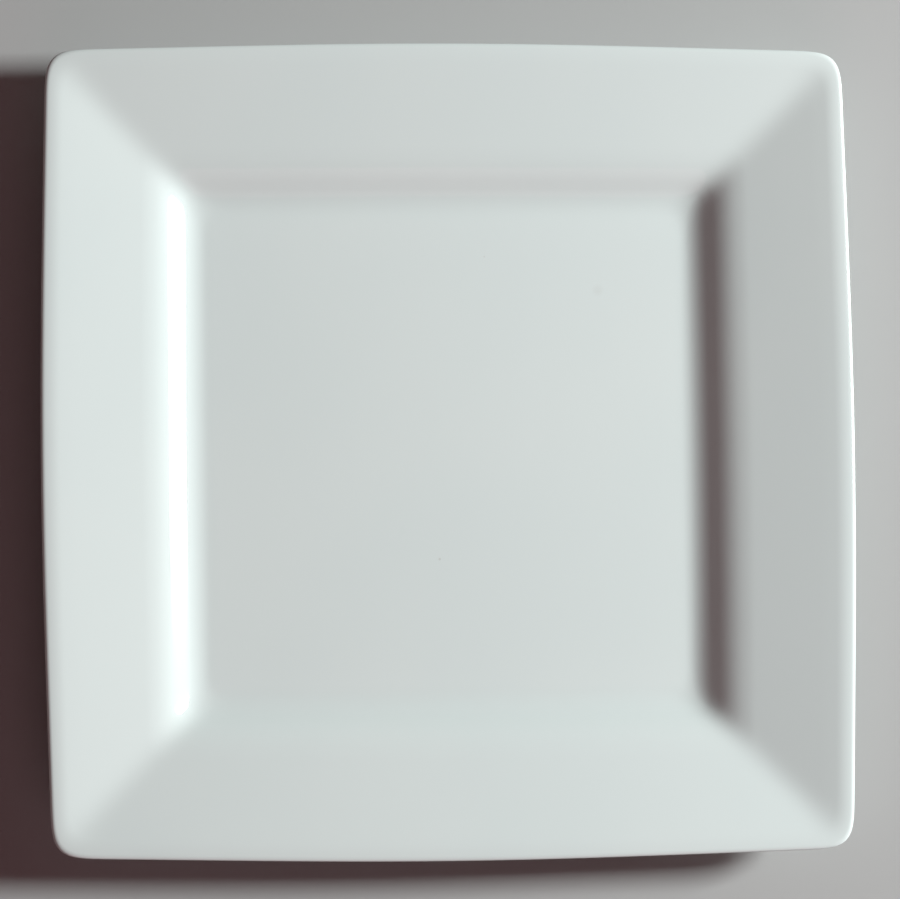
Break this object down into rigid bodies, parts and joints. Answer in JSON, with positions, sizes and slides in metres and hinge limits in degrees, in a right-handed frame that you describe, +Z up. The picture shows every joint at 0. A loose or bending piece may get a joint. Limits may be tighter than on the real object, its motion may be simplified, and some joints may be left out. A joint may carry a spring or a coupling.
{
  "type": "salad plate",
  "caption": "Square glazed porcelain salad plate: flat square well, curved wall, broad sloping rim with mitred corners and slightly bowed sides, rounded lip and a dry foot ring.",
  "frame": {"origin": "middle of the foot ring, on the plane that the plate stands on", "axes": "+Z up out of the well, +X and +Y square to the plate's sides"},
  "size_m": [0.21, 0.21, 0.0175],
  "materials": {
    "porcelain": "fired porcelain, bare and finely ground where it shows on the foot",
    "glaze": "glossy clear glaze over white porcelain"
  },
  "bodies": {
    "root": {"porcelain_body": "porcelain", "glaze_coat": "glaze", "base_glaze": "glaze"}
  },
  "joints": []
}
